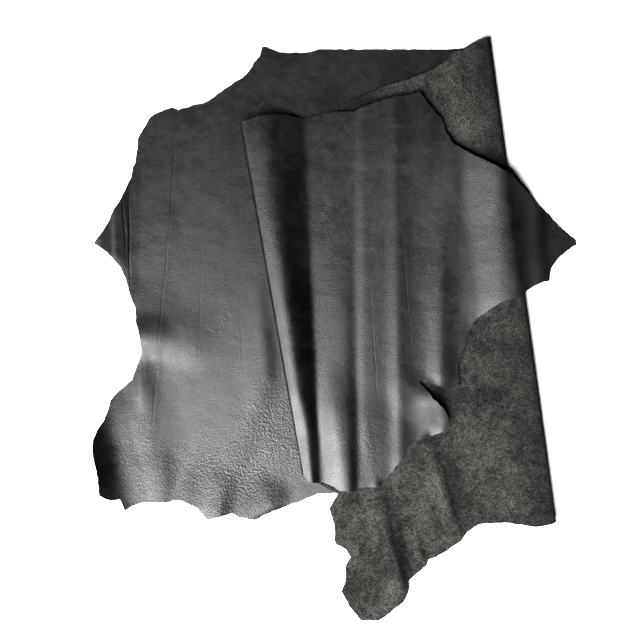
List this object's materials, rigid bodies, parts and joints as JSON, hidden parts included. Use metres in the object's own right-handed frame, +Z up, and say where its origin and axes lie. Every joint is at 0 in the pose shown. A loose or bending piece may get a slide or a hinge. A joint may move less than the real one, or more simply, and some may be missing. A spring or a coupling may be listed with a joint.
{
  "type": "leather hide",
  "caption": "Whole side of cowhide leather with its natural outline, folded in three and lying flat, smooth grain side up with the suede side showing between the folds.",
  "frame": {"origin": "bottom centre of the folded hide, on the surface that it lies on", "axes": "+Z up through the folded layers, +Y towards the spine edge, +X towards the butt end's shank"},
  "size_m": [1.084, 1.3063, 0.0514],
  "materials": {
    "leather": "waxed black grain side with a soft sheen; matt charcoal suede on the flesh side"
  },
  "bodies": {
    "root": {"hide": "leather"}
  },
  "joints": []
}
